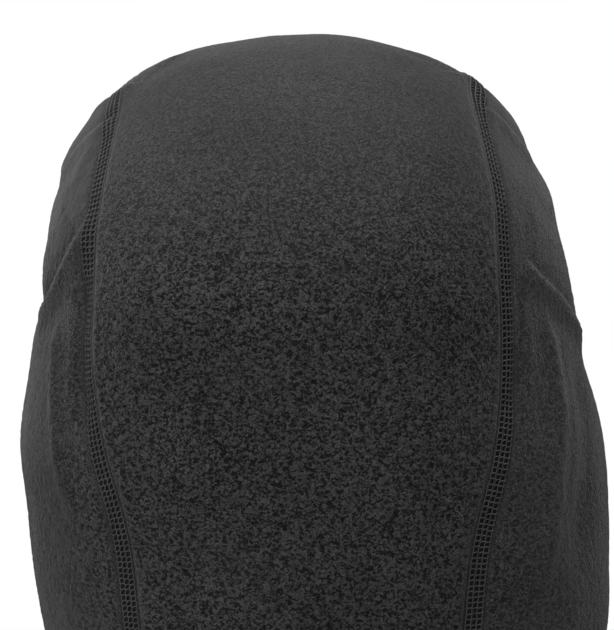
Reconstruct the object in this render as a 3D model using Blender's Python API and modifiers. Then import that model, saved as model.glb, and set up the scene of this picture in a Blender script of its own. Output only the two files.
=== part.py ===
"""A fleece ski balaclava, standing as it does when a head fills it.

Four fleece panels run from the neck hem to the face opening. Flat seams join
them, a stretch binding closes each raw edge, and an elastic lies in the face
binding. Run it with: blender --background --python part.py

Metres, +Z up. The face looks along -Y and the wearer's left is +X. The origin
is at the centre of the hem's underside.
"""

import math

import bpy
import numpy as np

# Driving dimensions.
HEIGHT = 0.345  # hem to crown
DOME_HEIGHT = 0.095  # the rounded crown, above the head's widest level
DOME_POWER = 2.4  # 2 gives an ellipse, and more gives a squarer shoulder
SECTION_POWER = 2.15  # the same, for a level section
CROWN_BACK = 0.008  # how far behind the origin the crown's top is
FLEECE = 0.0022
BINDING = 0.0008
ELASTIC = 0.0008
THREAD = 0.0005  # the height of a stitched band above its cloth
LABEL = 0.0005
CLEAR = 0.0005  # the gap between pieces that touch
SEAM_GAP = 0.0010  # between two panels, whose inner edges lean together
INNER_CLEAR = 0.0009  # the same on the hollow side, where flat facets come closer
SEAM_CLEAR = 0.0009  # under the seams' threads, where the crown bends most

# Outlines of the filled balaclava, as (height, distance from the origin).
HALF_WIDTH = [
    (0, 0.100), (0.030, 0.088), (0.080, 0.074), (0.120, 0.079),
    (0.165, 0.0895), (0.205, 0.092), (0.250, 0.0865), (HEIGHT, 0.084),
]
BACK = [
    (0, 0.101), (0.030, 0.088), (0.080, 0.072), (0.120, 0.076),
    (0.165, 0.088), (0.205, 0.096), (0.250, 0.099), (HEIGHT, 0.097),
]
FRONT = [
    (0, 0.101), (0.030, 0.089), (0.080, 0.066), (0.105, 0.068),
    (0.140, 0.088), (0.170, 0.097), (0.215, 0.100), (0.250, 0.100), (HEIGHT, 0.096),
]

# The face opening.
BROW_HEIGHT = 0.273
LIP_HEIGHT = 0.158
FACE_BOW = 5.4  # how sharply its sides sweep back: this times the half width squared

# Half widths of the panels, as (share of the way from hem to face opening, half width).
CENTRE_HALF = [
    (0, 0.060), (0.08, 0.050), (0.17, 0.0455), (0.25, 0.0455), (0.33, 0.0515), (0.40, 0.0548),
    (0.475, 0.0612), (0.56, 0.0648), (0.625, 0.0630), (0.70, 0.0572), (0.80, 0.052), (1, 0.044),
]
CHIN_HALF = [(0, 0.056), (0.25, 0.046), (0.5, 0.042), (1, 0.034)]

SEAM_WIDTH = 0.0062
BINDING_WIDTH = 0.010
STITCH_WIDTH = 0.003
LABEL_SIZE = (0.028, 0.042)  # width, length
LABEL_START = 0.020  # the label's lower edge above the hem
TACK_SIZE = (0.024, 0.0016)

# How finely the sheets are divided.
ROWS = 28
CENTRE_COLUMNS, SIDE_COLUMNS, CHIN_COLUMNS = 10, 15, 6
FINE = 400  # samples along a curve that is measured

DOME_BASE = HEIGHT - DOME_HEIGHT
HEM_HEIGHT = BINDING + 0.0016  # the panels' raw lower edge, inside the binding

FLEECE_COLOUR = (0.045, 0.045, 0.047, 1)
BINDING_COLOUR = (0.030, 0.030, 0.031, 1)
THREAD_COLOUR = (0.052, 0.052, 0.054, 1)
ELASTIC_COLOUR = (0.020, 0.020, 0.021, 1)
LABEL_COLOUR = (0.62, 0.62, 0.60, 1)


# The form: one smooth surface that every piece follows.


def smooth_curve(points, at):
    """The value at each place of a smooth curve through (place, value) points."""
    places, values = np.array(points, float).T
    slopes = np.gradient(values, places)
    at = np.clip(at, places[0], places[-1])
    i = np.clip(np.searchsorted(places, at) - 1, 0, len(places) - 2)
    step = places[i + 1] - places[i]
    t = (at - places[i]) / step
    return (
        values[i] * (1 + 2 * t) * (1 - t) ** 2
        + slopes[i] * step * t * (1 - t) ** 2
        + values[i + 1] * t**2 * (3 - 2 * t)
        + slopes[i + 1] * step * t**2 * (t - 1)
    )


def crown_share(height):
    """How much of its full size a level section keeps: 1 up to the dome, 0 at its top."""
    rise = np.clip((height - DOME_BASE) / DOME_HEIGHT, 0, 1)
    return (1 - rise**DOME_POWER) ** (1 / DOME_POWER)


def outside(x, y, z):
    """Below 0 inside the form, 0 on it and above 0 outside it."""
    behind = y - CROWN_BACK
    depth = np.where(
        behind > 0,
        smooth_curve(BACK, z) - CROWN_BACK,
        smooth_curve(FRONT, z) + CROWN_BACK,
    )
    across = (np.abs(x) / smooth_curve(HALF_WIDTH, z)) ** SECTION_POWER
    along = (np.abs(behind) / depth) ** SECTION_POWER
    return (across + along) ** (1 / SECTION_POWER) - crown_share(z)


def middle_outline():
    """Points (y, z) round the form's middle, from the hem's back over the crown to its front."""
    wall = np.linspace(HEM_HEIGHT, DOME_BASE, FINE, endpoint=False)
    turn = np.linspace(0, math.pi / 2, FINE)
    dome = DOME_BASE + DOME_HEIGHT * np.sin(turn) ** (2 / DOME_POWER)
    height = np.concatenate([wall, dome])
    share = np.concatenate([np.ones(FINE), np.cos(turn) ** (2 / DOME_POWER)])
    back = CROWN_BACK + (smooth_curve(BACK, height) - CROWN_BACK) * share
    front = CROWN_BACK - (smooth_curve(FRONT, height) + CROWN_BACK) * share
    return np.concatenate([
        np.stack([back, height], 1),
        np.stack([front, height], 1)[-2::-1],
    ])


def lengths_along(points):
    steps = np.linalg.norm(np.diff(points, axis=0), axis=1)
    return np.concatenate([[0], np.cumsum(steps)])


OUTLINE = middle_outline()
ALONG = lengths_along(OUTLINE)
FRONT_HALF = np.arange(len(OUTLINE)) >= 2 * FINE
BROW_ALONG = np.interp(-BROW_HEIGHT, -OUTLINE[FRONT_HALF, 1], ALONG[FRONT_HALF])
LIP_ALONG = np.interp(-LIP_HEIGHT, -OUTLINE[FRONT_HALF, 1], ALONG[FRONT_HALF])


def on_outline(along):
    return np.stack([np.interp(along, ALONG, OUTLINE[:, k]) for k in (0, 1)], -1)


def ring(share):
    """The ring a share of the way from hem to face opening: its centre, the direction
    of its back and that of its axis, all as (y, z), half its length, and its bow."""
    back = on_outline(share * BROW_ALONG)
    front = on_outline(ALONG[-1] - share * (ALONG[-1] - LIP_ALONG))
    half = np.linalg.norm(back - front, axis=-1, keepdims=True) / 2
    back_way = (back - front) / (2 * half)
    axis = np.stack([-back_way[..., 1], back_way[..., 0]], -1)
    bow = FACE_BOW * share**2 * (3 - 2 * share)
    return (back + front) / 2, back_way, axis, half[..., 0], bow


def surface(angle, share):
    """The form's point at an angle round the ring (0 at the back, towards +X)."""
    angle, share = np.broadcast_arrays(
        np.asarray(angle, float), np.asarray(share, float)
    )
    centre, back_way, axis, _, bow = ring(share)

    def point(reach):
        x = reach * np.sin(angle)
        back = reach * np.cos(angle)
        sweep = bow * x * x
        y = centre[..., 0] + back * back_way[..., 0] - sweep * axis[..., 0]
        z = centre[..., 1] + back * back_way[..., 1] - sweep * axis[..., 1]
        return x, y, z

    low, high = np.zeros(angle.shape), np.full(angle.shape, 0.25)
    for _ in range(48):
        middle = (low + high) / 2
        out = outside(*point(middle)) > 0
        low, high = np.where(out, low, middle), np.where(out, middle, high)
    return np.stack(point((low + high) / 2), -1)


def outward(points):
    """The unit normal of the form at points near it."""
    step = 1e-5
    slopes = []
    for k in range(3):
        move = np.zeros(3)
        move[k] = step
        after = outside(*np.moveaxis(points + move, -1, 0))
        before = outside(*np.moveaxis(points - move, -1, 0))
        slopes.append(after - before)
    normal = np.stack(slopes, -1)
    return normal / np.linalg.norm(normal, axis=-1, keepdims=True)


def angle_at(half_width, share, from_front=False):
    """The angle where the ring is that far from the middle plane."""
    start = math.pi if from_front else 0
    side = -1 if from_front else 1
    low, high = np.zeros_like(share), np.full_like(share, math.pi / 2)
    for _ in range(40):
        middle = (low + high) / 2
        wide = surface(start + side * middle, share)[..., 0] > half_width
        low, high = np.where(wide, low, middle), np.where(wide, middle, high)
    return start + side * (low + high) / 2


def share_in_from(edge, angle, distance):
    """The share of the way that lies a distance in from an edge: 0 the hem, 1 the face."""
    shares = np.linspace(edge, 0.5, FINE)
    path = surface(angle, shares[:, None])
    steps = np.linalg.norm(np.diff(path, axis=0), axis=-1)
    along = np.concatenate([np.zeros((1, len(angle))), np.cumsum(steps, axis=0)])
    return np.array([
        np.interp(distance, along[:, k], shares) for k in range(len(angle))
    ])


# Where the rows of the sheets lie, closer together at both edges.
EVEN = np.linspace(0, 1, ROWS + 1)
SHARES = EVEN - 0.08 * np.sin(2 * math.pi * EVEN)
BACK_SEAM = angle_at(smooth_curve(CENTRE_HALF, SHARES), SHARES)
CHIN_SEAM = angle_at(smooth_curve(CHIN_HALF, SHARES), SHARES, from_front=True)


def seam_angle(seam, share):
    return np.interp(share, SHARES, seam)


# Making the objects.


def material(name, colour, roughness):
    made = bpy.data.materials.new(name)
    made.use_nodes = True
    shader = made.node_tree.nodes["Principled BSDF"]
    shader.inputs["Base Color"].default_value = colour
    shader.inputs["Roughness"].default_value = roughness
    shader.inputs["Metallic"].default_value = 0
    return made


def sheet(name, points, finish, thickness, side, ring_shaped=False):
    """A cloth piece: an open sheet of points (rows, columns, xyz) made thick on one
    side, 1 outwards and -1 inwards. A ring-shaped one joins its last column to its first."""
    rows, columns = points.shape[:2]
    across = columns if ring_shaped else columns - 1
    faces = []
    for i in range(rows - 1):
        for j in range(across):
            k = (j + 1) % columns
            faces.append((
                i * columns + j,
                (i + 1) * columns + j,
                (i + 1) * columns + k,
                i * columns + k,
            ))
    mesh = bpy.data.meshes.new(name)
    mesh.from_pydata(points.reshape(-1, 3).tolist(), [], faces)
    mesh.materials.append(finish)
    made = bpy.data.objects.new(name, mesh)
    bpy.data.collections["balaclava"].objects.link(made)
    solid = made.modifiers.new("thickness", "SOLIDIFY")
    solid.thickness = thickness
    solid.offset = side
    solid.use_even_offset = True
    solid.use_quality_normals = True
    mesh.shade_smooth()
    return made


def panel(name, first, last, columns, finish):
    """A fleece panel between two seams, given as angles at each row."""
    reach = np.linalg.norm(surface(first, SHARES)[:, :2], axis=1)
    trim = SEAM_GAP / 2 / reach
    mix = np.linspace(0, 1, columns + 1)
    angle = (first + trim)[:, None] * (1 - mix) + (last - trim)[:, None] * mix
    points = surface(angle, SHARES[:, None])
    return sheet(name, points, finish, FLEECE, -1)


def width_per_angle(middle, shares):
    """How wide one radian of the ring is, measured square across a seam."""
    path = surface(middle, shares)
    way = np.gradient(path, axis=0)
    way /= np.linalg.norm(way, axis=1, keepdims=True)
    small = 0.001
    aside = (surface(middle + small, shares) - path) / small
    aside -= np.sum(aside * way, axis=1, keepdims=True) * way
    return np.linalg.norm(aside, axis=1)


def seam_bands(name, seam, mirrored, finish):
    """The threads of one flat seam: the cover on the outside and the looper inside."""
    ends = [seam_angle(seam, edge) for edge in (0.0, 1.0)]
    margin = BINDING_WIDTH + SEAM_WIDTH / 2
    first = share_in_from(0.0, np.array([ends[0]]), margin)[0]
    last = share_in_from(1.0, np.array([ends[1]]), margin)[0]
    inner_rows = SHARES[(SHARES > first + 0.006) & (SHARES < last - 0.006)]
    shares = np.concatenate([[first], inner_rows, [last]])
    middle = seam_angle(seam, shares)
    if mirrored:
        middle = 2 * math.pi - middle
    half = SEAM_WIDTH / 2 / width_per_angle(middle, shares)
    angle = np.stack([middle - half, middle + half], 1)
    points = surface(angle, shares[:, None])
    normal = outward(points)
    sheet(f"{name}_cover_thread", points + normal * SEAM_CLEAR, finish, THREAD, 1)
    inner = points - normal * (FLEECE + INNER_CLEAR + SEAM_CLEAR - CLEAR)
    sheet(f"{name}_looper_thread", inner, finish, THREAD, -1)


def ring_angles(edge):
    """The angles of the panels' columns round one edge."""
    back = seam_angle(BACK_SEAM, edge)
    chin = seam_angle(CHIN_SEAM, edge)
    stops = [-back, back, chin, 2 * math.pi - chin, 2 * math.pi - back]
    counts = [CENTRE_COLUMNS, SIDE_COLUMNS, CHIN_COLUMNS, SIDE_COLUMNS]
    return np.concatenate([
        np.linspace(start, stop, count, endpoint=False)
        for start, stop, count in zip(stops, stops[1:], counts)
    ])


def rim_of(edge):
    """One edge of the fleece, as the angles of its points, the points, the way past
    the edge within the cloth, and the outward normals."""
    angle = ring_angles(edge)
    rim = surface(angle, edge)
    past = rim - surface(angle, abs(edge - 0.004))
    past /= np.linalg.norm(past, axis=1, keepdims=True)
    return angle, rim, past, outward(rim)


def edge_profile(edge, profile):
    """Points round an edge from (distance in from the edge, height above the cloth)
    pairs. A negative distance lies past the edge."""
    angle, rim, past, rim_normal = rim_of(edge)
    lines = []
    for distance, height in profile:
        if distance > 0:
            at = surface(angle, share_in_from(edge, angle, distance))
            lines.append(at + outward(at) * height)
        else:
            lines.append(rim - past * distance + rim_normal * height)
    return np.array(lines)


def stitch_ring(name, edge, height, finish, outer):
    """A stitched line round a binding, as a band on its outer or inner side."""
    start = (BINDING_WIDTH - STITCH_WIDTH) / 2
    near, far = (start, height), (start + STITCH_WIDTH, height)
    profile = [near, far] if edge == 0 else [far, near]
    side = 1 if outer else -1
    sheet(name, edge_profile(edge, profile), finish, THREAD, side, True)


def face_edge(finishes):
    """The binding, elastic and stitching round the face opening."""
    inner = -(FLEECE + INNER_CLEAR + ELASTIC + CLEAR)
    turn = 0.0015
    profile = [
        (BINDING_WIDTH, CLEAR),
        (BINDING_WIDTH / 2, CLEAR),
        (0, CLEAR),
        (-turn, inner * 0.22),
        (-turn, inner * 0.78),
        (0, inner),
        (BINDING_WIDTH / 2, inner),
        (BINDING_WIDTH, inner),
    ]
    points = edge_profile(1.0, profile)
    sheet("face_binding", points, finishes["binding"], BINDING, 1, True)
    depth = -(FLEECE + INNER_CLEAR)
    tape = [(BINDING_WIDTH * part, depth) for part in (0.8, 0.45, 0.1)]
    points = edge_profile(1.0, tape)
    sheet("face_elastic", points, finishes["elastic"], ELASTIC, -1, True)
    thread = finishes["thread"]
    on_top = CLEAR + BINDING + CLEAR
    stitch_ring("face_binding_topstitch", 1.0, on_top, thread, True)
    below = inner - BINDING - INNER_CLEAR
    stitch_ring("face_binding_understitch", 1.0, below, thread, False)


def neck_edge(finishes):
    """The binding and stitching round the hem. Its underside is flat, at height 0."""
    inner = -(FLEECE + INNER_CLEAR)
    profile = [(BINDING_WIDTH, inner), (0, inner), (0, CLEAR), (BINDING_WIDTH, CLEAR)]
    points = edge_profile(0.0, profile)
    _, rim, past, normal = rim_of(0.0)
    foot = rim + past * (BINDING - rim[:, 2:]) / past[:, 2:]
    level = normal * (1, 1, 0)
    level /= np.sum(level * normal, axis=1, keepdims=True)
    for row, height in ((1, inner), (2, CLEAR)):
        points[row] = foot + level * height
    sheet("neck_binding", points, finishes["binding"], BINDING, 1, True)
    thread = finishes["thread"]
    on_top = CLEAR + BINDING + CLEAR
    stitch_ring("neck_binding_topstitch", 0.0, on_top, thread, True)
    below = inner - BINDING - INNER_CLEAR
    stitch_ring("neck_binding_understitch", 0.0, below, thread, False)


def inner_patch(name, size, start, depth, finish, thickness, columns, rows):
    """A flat piece on the inside of the nape, following its curve."""
    width, length = size
    shares = share_in_from(0.0, np.zeros(1), np.linspace(start, start + length, rows + 1))
    shares = shares.reshape(-1, 1)
    reach = surface(0.0, shares)[..., 1]
    angle = np.linspace(-width / 2, width / 2, columns + 1) / reach
    points = surface(angle, shares)
    sheet(name, points - outward(points) * depth, finish, thickness, -1)


def care_label(finishes):
    """The blank label inside the nape, and the tack that holds its upper edge."""
    depth = FLEECE + INNER_CLEAR
    inner_patch("care_label", LABEL_SIZE, LABEL_START, depth, finishes["label"], LABEL, 4, 3)
    tack_start = LABEL_START + LABEL_SIZE[1] - 2 * TACK_SIZE[1]
    depth += LABEL + INNER_CLEAR
    inner_patch("label_tack_thread", TACK_SIZE, tack_start, depth, finishes["thread"], THREAD, 4, 1)


def main():
    for old in list(bpy.data.objects):
        bpy.data.objects.remove(old)
    collection = bpy.data.collections.new("balaclava")
    bpy.context.scene.collection.children.link(collection)
    finishes = {
        "fleece": material("fleece", FLEECE_COLOUR, 1.0),
        "binding": material("stretch_binding", BINDING_COLOUR, 0.85),
        "thread": material("thread", THREAD_COLOUR, 0.6),
        "elastic": material("elastic", ELASTIC_COLOUR, 0.8),
        "label": material("label_satin", LABEL_COLOUR, 0.5),
    }
    fleece = finishes["fleece"]
    whole = 2 * math.pi
    panel("centre_panel", -BACK_SEAM, BACK_SEAM, CENTRE_COLUMNS, fleece)
    panel("left_side_panel", BACK_SEAM, CHIN_SEAM, SIDE_COLUMNS, fleece)
    panel("chin_panel", CHIN_SEAM, whole - CHIN_SEAM, CHIN_COLUMNS, fleece)
    panel("right_side_panel", whole - CHIN_SEAM, whole - BACK_SEAM, SIDE_COLUMNS, fleece)
    for side, mirrored in (("left", False), ("right", True)):
        seam_bands(f"{side}_back_seam", BACK_SEAM, mirrored, finishes["thread"])
        seam_bands(f"{side}_chin_seam", CHIN_SEAM, mirrored, finishes["thread"])
    face_edge(finishes)
    neck_edge(finishes)
    care_label(finishes)


main()
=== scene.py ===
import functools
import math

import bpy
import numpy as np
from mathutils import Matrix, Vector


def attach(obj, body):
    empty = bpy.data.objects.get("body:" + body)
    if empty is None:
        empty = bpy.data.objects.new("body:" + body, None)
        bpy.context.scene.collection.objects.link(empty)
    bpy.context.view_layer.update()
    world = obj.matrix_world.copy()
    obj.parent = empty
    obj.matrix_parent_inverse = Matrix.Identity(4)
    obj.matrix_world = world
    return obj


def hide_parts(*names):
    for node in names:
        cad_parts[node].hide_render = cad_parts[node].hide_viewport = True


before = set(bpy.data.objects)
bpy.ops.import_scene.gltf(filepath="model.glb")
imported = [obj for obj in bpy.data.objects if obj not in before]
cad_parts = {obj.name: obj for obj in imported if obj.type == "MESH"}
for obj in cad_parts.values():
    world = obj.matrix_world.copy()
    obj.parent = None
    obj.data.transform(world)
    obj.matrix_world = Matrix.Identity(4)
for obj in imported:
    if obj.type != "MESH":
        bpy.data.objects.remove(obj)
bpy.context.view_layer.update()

# The looks of a fleece ski balaclava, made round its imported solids.
#
# Every piece follows one smooth form, the shape that a head gives the cloth. The drape
# of the loose cloth is added to it, then the nap and the stitching. Metres, +Z up. The
# face looks along -Y and the wearer's left is +X.

# The form, with the same dimensions as the CAD model.
HEIGHT = 0.345
DOME_HEIGHT = 0.095
DOME_POWER = 2.4
SECTION_POWER = 2.15
CROWN_BACK = 0.008
FLEECE = 0.0022
HEM_HEIGHT = 0.0024
HALF_WIDTH = [
    (0, 0.100), (0.030, 0.088), (0.080, 0.074), (0.120, 0.079),
    (0.165, 0.0895), (0.205, 0.092), (0.250, 0.0865), (HEIGHT, 0.084),
]
BACK = [
    (0, 0.101), (0.030, 0.088), (0.080, 0.072), (0.120, 0.076),
    (0.165, 0.088), (0.205, 0.096), (0.250, 0.099), (HEIGHT, 0.097),
]
FRONT = [
    (0, 0.101), (0.030, 0.089), (0.080, 0.066), (0.105, 0.068),
    (0.140, 0.088), (0.170, 0.097), (0.215, 0.100), (0.250, 0.100), (HEIGHT, 0.096),
]
BROW_HEIGHT = 0.273
LIP_HEIGHT = 0.158
FACE_BOW = 5.4
CENTRE_HALF = [
    (0, 0.060), (0.08, 0.050), (0.17, 0.0455), (0.25, 0.0455), (0.33, 0.0515), (0.40, 0.0548),
    (0.475, 0.0612), (0.56, 0.0648), (0.625, 0.0630), (0.70, 0.0572), (0.80, 0.052), (1, 0.044),
]
CHIN_HALF = [(0, 0.056), (0.25, 0.046), (0.5, 0.042), (1, 0.034)]
DOME_BASE = HEIGHT - DOME_HEIGHT
FINE = 400
HALVINGS = 26

# How far the cloth's slant carries both back seams towards -X, as (share, distance).
SEAM_LEAN = [
    (0, 0), (0.20, 0.0012), (0.35, 0.0030), (0.44, 0.0033), (0.54, 0.0024),
    (0.60, 0.0009), (0.65, 0.0009), (0.70, -0.0008), (0.80, 0), (1, 0),
]

# How far the loose side cloth stands off the form, as (height, distance).
LEFT_LOOSE = [
    (0.060, 0), (0.120, -0.003), (0.158, -0.0058), (0.180, -0.0050), (0.200, -0.0036),
    (0.215, -0.0010), (0.238, -0.0002), (0.252, -0.0014), (0.261, -0.0034), (0.272, -0.0026),
    (0.290, -0.0006), (0.305, -0.0002), (0.318, 0), (0.332, 0.0008), (HEIGHT, 0.0008),
]
RIGHT_LOOSE = [
    (0.060, 0), (0.110, 0.004), (0.158, 0.0086), (0.180, 0.0061), (0.207, 0.0044),
    (0.230, 0.0034), (0.243, 0.0014), (0.254, 0.0001), (0.269, -0.0012), (0.284, -0.0010),
    (0.295, -0.0004), (0.307, -0.0016), (0.319, -0.0006), (0.330, 0.0002), (0.338, -0.0006),
    (HEIGHT, -0.0008),
]

# Soft ridges of the drape, and valleys below 0: (path, width, height). A path's points
# are (degrees round from the back towards +X, height in millimetres). The paths of the
# folds that the photo shows, here and in FOLDS, began as places read from it, which a
# separate script turned into these units. The others are invented.
RIDGES = [
    ([(56, 262), (56, 250), (55, 237), (53, 225), (51, 210), (48, 190)], 0.0034, 0.0019),
    ([(48, 276), (47, 260), (46, 240), (43, 222)], 0.0034, -0.0022),
    ([(60, 313), (62, 305), (61, 297)], 0.0040, 0.0006),
    ([(72, 250), (78, 225), (76, 200), (70, 175)], 0.0120, -0.0010),
    ([(-58, 264), (-61, 250), (-60, 231), (-57, 212), (-55, 190), (-53, 165)], 0.0042, 0.0020),
    ([(-72, 248), (-74, 230), (-70, 212), (-66, 195), (-62, 175)], 0.0075, -0.0022),
    ([(-51, 276), (-50, 262), (-49, 245), (-46, 225)], 0.0028, -0.0012),
    ([(-38, 112), (-15, 104), (12, 106), (36, 114)], 0.0060, 0.0016),
    ([(-42, 88), (-12, 80), (20, 84), (44, 92)], 0.0070, 0.0014),
    ([(62, 128), (88, 112), (118, 104), (150, 108)], 0.0060, 0.0022),
    ([(-60, 124), (-90, 110), (-122, 100), (-155, 106)], 0.0060, 0.0022),
    ([(70, 92), (100, 84), (135, 80)], 0.0070, 0.0016),
    ([(-76, 88), (-104, 80), (-140, 84)], 0.0070, 0.0016),
    ([(98, 262), (108, 240), (116, 215), (124, 190)], 0.0060, 0.0014),
    ([(-100, 258), (-110, 236), (-117, 212), (-126, 188)], 0.0060, 0.0014),
    ([(6, 333), (-8, 331)], 0.0030, -0.0007),
]

# Folds that overlap, with a crest, a drop on the far side and a swell beyond it:
# (path, crest, swell). A path has the far side on its right, as seen from outside.
FOLDS = [
    ([(49, 294), (50, 284), (53, 279), (57, 273), (61, 267), (68, 261), (80, 256)], 0.0022, 0.0016),
    ([(56, 321), (61, 318), (67, 314), (73, 310), (78, 304), (80, 296)], 0.0014, 0.0018),
    ([(61, 331), (68, 329), (76, 325), (86, 319)], 0.0010, 0.0010),
    ([(-98, 330), (-88, 331), (-76, 332), (-66, 333)], 0.0009, 0.0008),
    ([(-86, 303), (-79, 310), (-75, 315), (-71, 320), (-64, 324)], 0.0014, 0.0014),
    ([(-98, 248), (-88, 252), (-78, 258), (-68, 265), (-58, 272), (-53, 277)], 0.0022, 0.0014),
]
FOLD_NEAR, FOLD_FAR = 0.0060, 0.0009  # how wide a crest is on its near and far side
FOLD_SWELL = 0.010  # how far beyond the crest the swell is highest
FOLD_LINE = 0.0007  # half the width of the painted highlight along a crest

# Seams and edges.
NEEDLE_ROWS = (-0.00270, -0.00090, 0.00090, 0.00270)
STITCH = 0.00175  # one stitch along the seam
THREAD_RADIUS = 0.00019
GROOVE = 0.0006  # how far a seam presses the nap down
BINDING = 0.0009
BINDING_WIDTH = 0.010
BINDING_GAP = 0.0003  # between a binding and the cloth under it
INNER_GAP = 0.0009  # the same on the hollow side
ELASTIC = 0.0008
ELASTIC_WIDTH = 0.0070
TOPSTITCH = 0.0026
TOPSTITCH_ROWS = (0.0036, 0.0064)  # how far they are in from the edge
LABEL_WIDTH, LABEL_LENGTH = 0.028, 0.042
LABEL_START = 0.020
LABEL = 0.00035
LABEL_GAP = 0.0006  # between the label and the lining
LABEL_REACH = 0.3  # the share of the cloth from the hem that the label lies in
TACK_WIDTH = 0.024
TACK_INSET = 0.0024  # below the label's upper end
TACK_ZIGZAGS = 30
TACK_RADIUS = 0.00015

# The nap.
CURL = 0.0022
CURL_HEIGHT = 0.00034

# The spacing of a panel's points.
CENTRE_GRID = 0.00095
SIDE_GRID = 0.00085


# The form.


def smooth_curve(points, at):
    """The value at each place of a smooth curve through (place, value) points."""
    places, values = np.array(points, float).T
    slopes = np.gradient(values, places)
    at = np.clip(at, places[0], places[-1])
    i = np.clip(np.searchsorted(places, at) - 1, 0, len(places) - 2)
    step = places[i + 1] - places[i]
    t = (at - places[i]) / step
    return (
        values[i] * (1 + 2 * t) * (1 - t) ** 2
        + slopes[i] * step * t * (1 - t) ** 2
        + values[i + 1] * t**2 * (3 - 2 * t)
        + slopes[i + 1] * step * t**2 * (t - 1)
    )


def ease(low, high, at):
    """0 below low and 1 above high, with a smooth rise between them."""
    t = np.clip((at - low) / (high - low), 0, 1)
    return t * t * (3 - 2 * t)


def crown_share(height):
    rise = np.clip((height - DOME_BASE) / DOME_HEIGHT, 0, 1)
    return (1 - rise**DOME_POWER) ** (1 / DOME_POWER)


def outside(x, y, z):
    """Below 0 inside the form, 0 on it and above 0 outside it."""
    behind = y - CROWN_BACK
    back = smooth_curve(BACK, z) - CROWN_BACK
    front = smooth_curve(FRONT, z) + CROWN_BACK
    depth = np.where(behind > 0, back, front)
    across = (np.abs(x) / smooth_curve(HALF_WIDTH, z)) ** SECTION_POWER
    along = (np.abs(behind) / depth) ** SECTION_POWER
    return (across + along) ** (1 / SECTION_POWER) - crown_share(z)


def middle_outline():
    """Points (y, z) round the form's middle, from the hem's back over the crown to its front."""
    wall = np.linspace(HEM_HEIGHT, DOME_BASE, FINE, endpoint=False)
    turn = np.linspace(0, math.pi / 2, FINE)
    dome = DOME_BASE + DOME_HEIGHT * np.sin(turn) ** (2 / DOME_POWER)
    height = np.concatenate([wall, dome])
    share = np.concatenate([np.ones(FINE), np.cos(turn) ** (2 / DOME_POWER)])
    back = CROWN_BACK + (smooth_curve(BACK, height) - CROWN_BACK) * share
    front = CROWN_BACK - (smooth_curve(FRONT, height) + CROWN_BACK) * share
    return np.concatenate([
        np.stack([back, height], 1),
        np.stack([front, height], 1)[-2::-1],
    ])


def lengths_along(points):
    steps = np.linalg.norm(np.diff(points, axis=0), axis=1)
    return np.concatenate([[0], np.cumsum(steps)])


OUTLINE = middle_outline()
ALONG = lengths_along(OUTLINE)
FRONT_HALF = np.arange(len(OUTLINE)) >= 2 * FINE
BROW_ALONG = np.interp(-BROW_HEIGHT, -OUTLINE[FRONT_HALF, 1], ALONG[FRONT_HALF])
LIP_ALONG = np.interp(-LIP_HEIGHT, -OUTLINE[FRONT_HALF, 1], ALONG[FRONT_HALF])


def on_outline(along):
    return np.stack([np.interp(along, ALONG, OUTLINE[:, k]) for k in (0, 1)], -1)


def ring(share):
    """The ring a share of the way from hem to face opening: its centre, the direction
    of its back and that of its axis, all as (y, z), half its length, and its bow."""
    back = on_outline(share * BROW_ALONG)
    front = on_outline(ALONG[-1] - share * (ALONG[-1] - LIP_ALONG))
    half = np.linalg.norm(back - front, axis=-1, keepdims=True) / 2
    back_way = (back - front) / (2 * half)
    axis = np.stack([-back_way[..., 1], back_way[..., 0]], -1)
    bow = FACE_BOW * share**2 * (3 - 2 * share)
    return (back + front) / 2, back_way, axis, half[..., 0], bow


def surface(angle, share):
    """The form's point at an angle round the ring (0 at the back, towards +X)."""
    angle, share = np.broadcast_arrays(
        np.asarray(angle, float), np.asarray(share, float)
    )
    centre, back_way, axis, _, bow = ring(share)

    def point(reach):
        x = reach * np.sin(angle)
        back = reach * np.cos(angle)
        sweep = bow * x * x
        y = centre[..., 0] + back * back_way[..., 0] - sweep * axis[..., 0]
        z = centre[..., 1] + back * back_way[..., 1] - sweep * axis[..., 1]
        return x, y, z

    low, high = np.zeros(angle.shape), np.full(angle.shape, 0.25)
    for _ in range(HALVINGS):
        middle = (low + high) / 2
        out = outside(*point(middle)) > 0
        low, high = np.where(out, low, middle), np.where(out, middle, high)
    return np.stack(point((low + high) / 2), -1)


def outward(points):
    """The unit normal of the form at points near it."""
    step = 1e-5
    slopes = []
    for k in range(3):
        move = np.zeros(3)
        move[k] = step
        after = outside(*np.moveaxis(points + move, -1, 0))
        before = outside(*np.moveaxis(points - move, -1, 0))
        slopes.append(after - before)
    normal = np.stack(slopes, -1)
    return normal / np.linalg.norm(normal, axis=-1, keepdims=True)


def to_form(points):
    """Points near the form, moved square onto it."""
    small = 1e-4
    for _ in range(3):
        normal = outward(points)
        off = outside(*np.moveaxis(points, -1, 0))
        ahead = outside(*np.moveaxis(points + normal * small, -1, 0))
        points = points - normal * (off / (ahead - off) * small)[..., None]
    return points


def angle_at(half_width, share, from_front=False):
    """The angle where the ring is that far from the middle plane."""
    start = math.pi if from_front else 0
    side = -1 if from_front else 1
    low, high = np.zeros_like(share), np.full_like(share, math.pi / 2)
    for _ in range(HALVINGS):
        middle = (low + high) / 2
        wide = surface(start + side * middle, share)[..., 0] > half_width
        low, high = np.where(wide, low, middle), np.where(wide, middle, high)
    return start + side * (low + high) / 2


SEAM_SHARES = np.linspace(0, 1, 161)
BACK_SEAM = angle_at(smooth_curve(CENTRE_HALF, SEAM_SHARES), SEAM_SHARES)
CHIN_SEAM = angle_at(smooth_curve(CHIN_HALF, SEAM_SHARES), SEAM_SHARES, from_front=True)


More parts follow.
